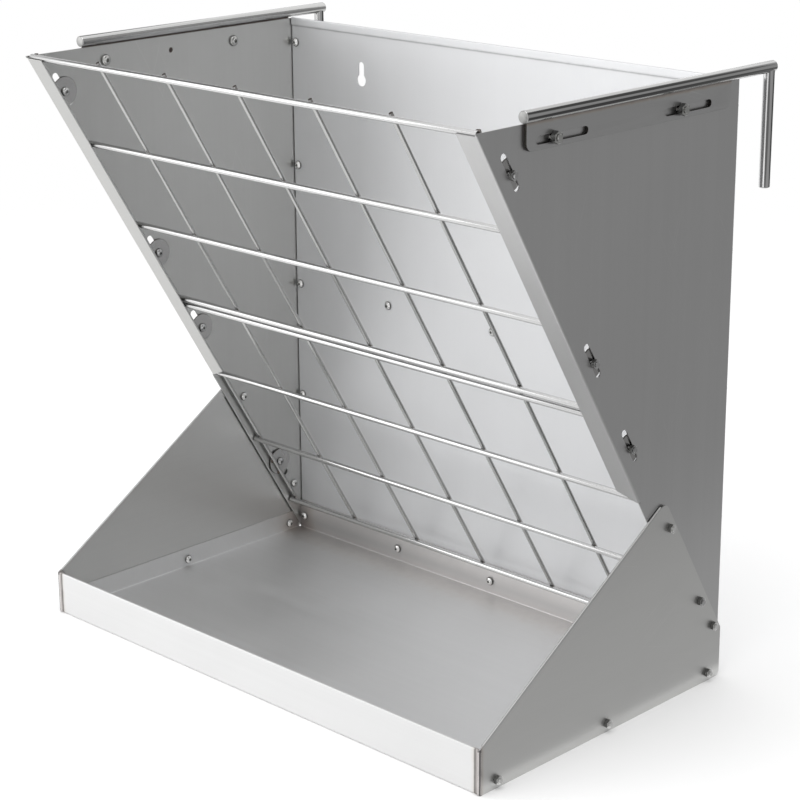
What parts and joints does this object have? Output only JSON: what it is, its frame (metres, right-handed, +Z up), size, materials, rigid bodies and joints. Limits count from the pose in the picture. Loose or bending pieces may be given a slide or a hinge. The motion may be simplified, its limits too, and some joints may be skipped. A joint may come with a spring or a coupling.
{
  "type": "wall-mounted hay feeder",
  "caption": "Wall-hung steel hay feeder with a slanted welded grid front, a catch tray and sliding rail hooks.",
  "frame": {"origin": "middle of the bounding box's footprint, level with the underside of the tray", "axes": "+X to the right as an animal sees it from the front, +Y towards the wall, +Z up"},
  "size_m": [0.6142, 0.405, 0.6011],
  "materials": {
    "casing_steel": "brushed rolled sheet",
    "grid_steel": "bright drawn wire",
    "hook_steel": "drawn bar with dark weld marks",
    "fastener_steel": "plain turned steel"
  },
  "bodies": {
    "feeder": {"back_panel": "casing_steel", "rear_brace": "casing_steel", "tray": "casing_steel", "left_side_panel": "casing_steel", "left_wing": "casing_steel", "right_side_panel": "casing_steel", "right_wing": "casing_steel", "lower_grid": "grid_steel", "left_clamp_bolt_3": "fastener_steel", "left_clamp_washer_3": "fastener_steel", "left_clamp_bolt_4": "fastener_steel", "left_clamp_washer_4": "fastener_steel", "left_hook_bolt_1": "fastener_steel", "left_wing_screw_1": "fastener_steel", "left_hook_bolt_2": "fastener_steel", "left_wing_screw_2": "fastener_steel", "left_lip_screw_1": "fastener_steel", "left_lip_screw_2": "fastener_steel", "left_lip_screw_3": "fastener_steel", "left_column_screw_1": "fastener_steel", "left_column_screw_2": "fastener_steel", "left_column_screw_3": "fastener_steel", "left_column_screw_4": "fastener_steel", "left_column_screw_5": "fastener_steel", "right_clamp_bolt_3": "fastener_steel", "right_clamp_washer_3": "fastener_steel", "right_clamp_bolt_4": "fastener_steel", "right_clamp_washer_4": "fastener_steel", "right_hook_bolt_1": "fastener_steel", "right_wing_screw_1": "fastener_steel", "right_hook_bolt_2": "fastener_steel", "right_wing_screw_2": "fastener_steel", "right_lip_screw_1": "fastener_steel", "right_lip_screw_2": "fastener_steel", "right_lip_screw_3": "fastener_steel", "right_column_screw_1": "fastener_steel", "right_column_screw_2": "fastener_steel", "right_column_screw_3": "fastener_steel", "right_column_screw_4": "fastener_steel", "right_column_screw_5": "fastener_steel", "brace_screw_1": "fastener_steel", "rear_lip_screw_1": "fastener_steel", "brace_screw_2": "fastener_steel", "rear_lip_screw_2": "fastener_steel", "brace_screw_3": "fastener_steel", "rear_lip_screw_3": "fastener_steel"},
    "left_hook": {"left_hook": "hook_steel"},
    "right_hook": {"right_hook": "hook_steel"},
    "upper_grid": {"upper_grid": "grid_steel", "left_clamp_bolt_1": "fastener_steel", "left_clamp_washer_1": "fastener_steel", "left_clamp_bolt_2": "fastener_steel", "left_clamp_washer_2": "fastener_steel", "right_clamp_bolt_1": "fastener_steel", "right_clamp_washer_1": "fastener_steel", "right_clamp_bolt_2": "fastener_steel", "right_clamp_washer_2": "fastener_steel"}
  },
  "joints": [
    {"name": "left_hook_slide", "type": "slide", "parent": "feeder", "child": "left_hook", "axis": [0, 1, 0], "range_m": [-0.028, 0.01]},
    {"name": "right_hook_slide", "type": "slide", "parent": "feeder", "child": "right_hook", "axis": [0, 1, 0], "range_m": [-0.028, 0.019]},
    {"name": "upper_grid_slide", "type": "slide", "parent": "feeder", "child": "upper_grid", "axis": [0, -0.515, 0.8572], "range_m": [-0.0015, 0.01]}
  ]
}
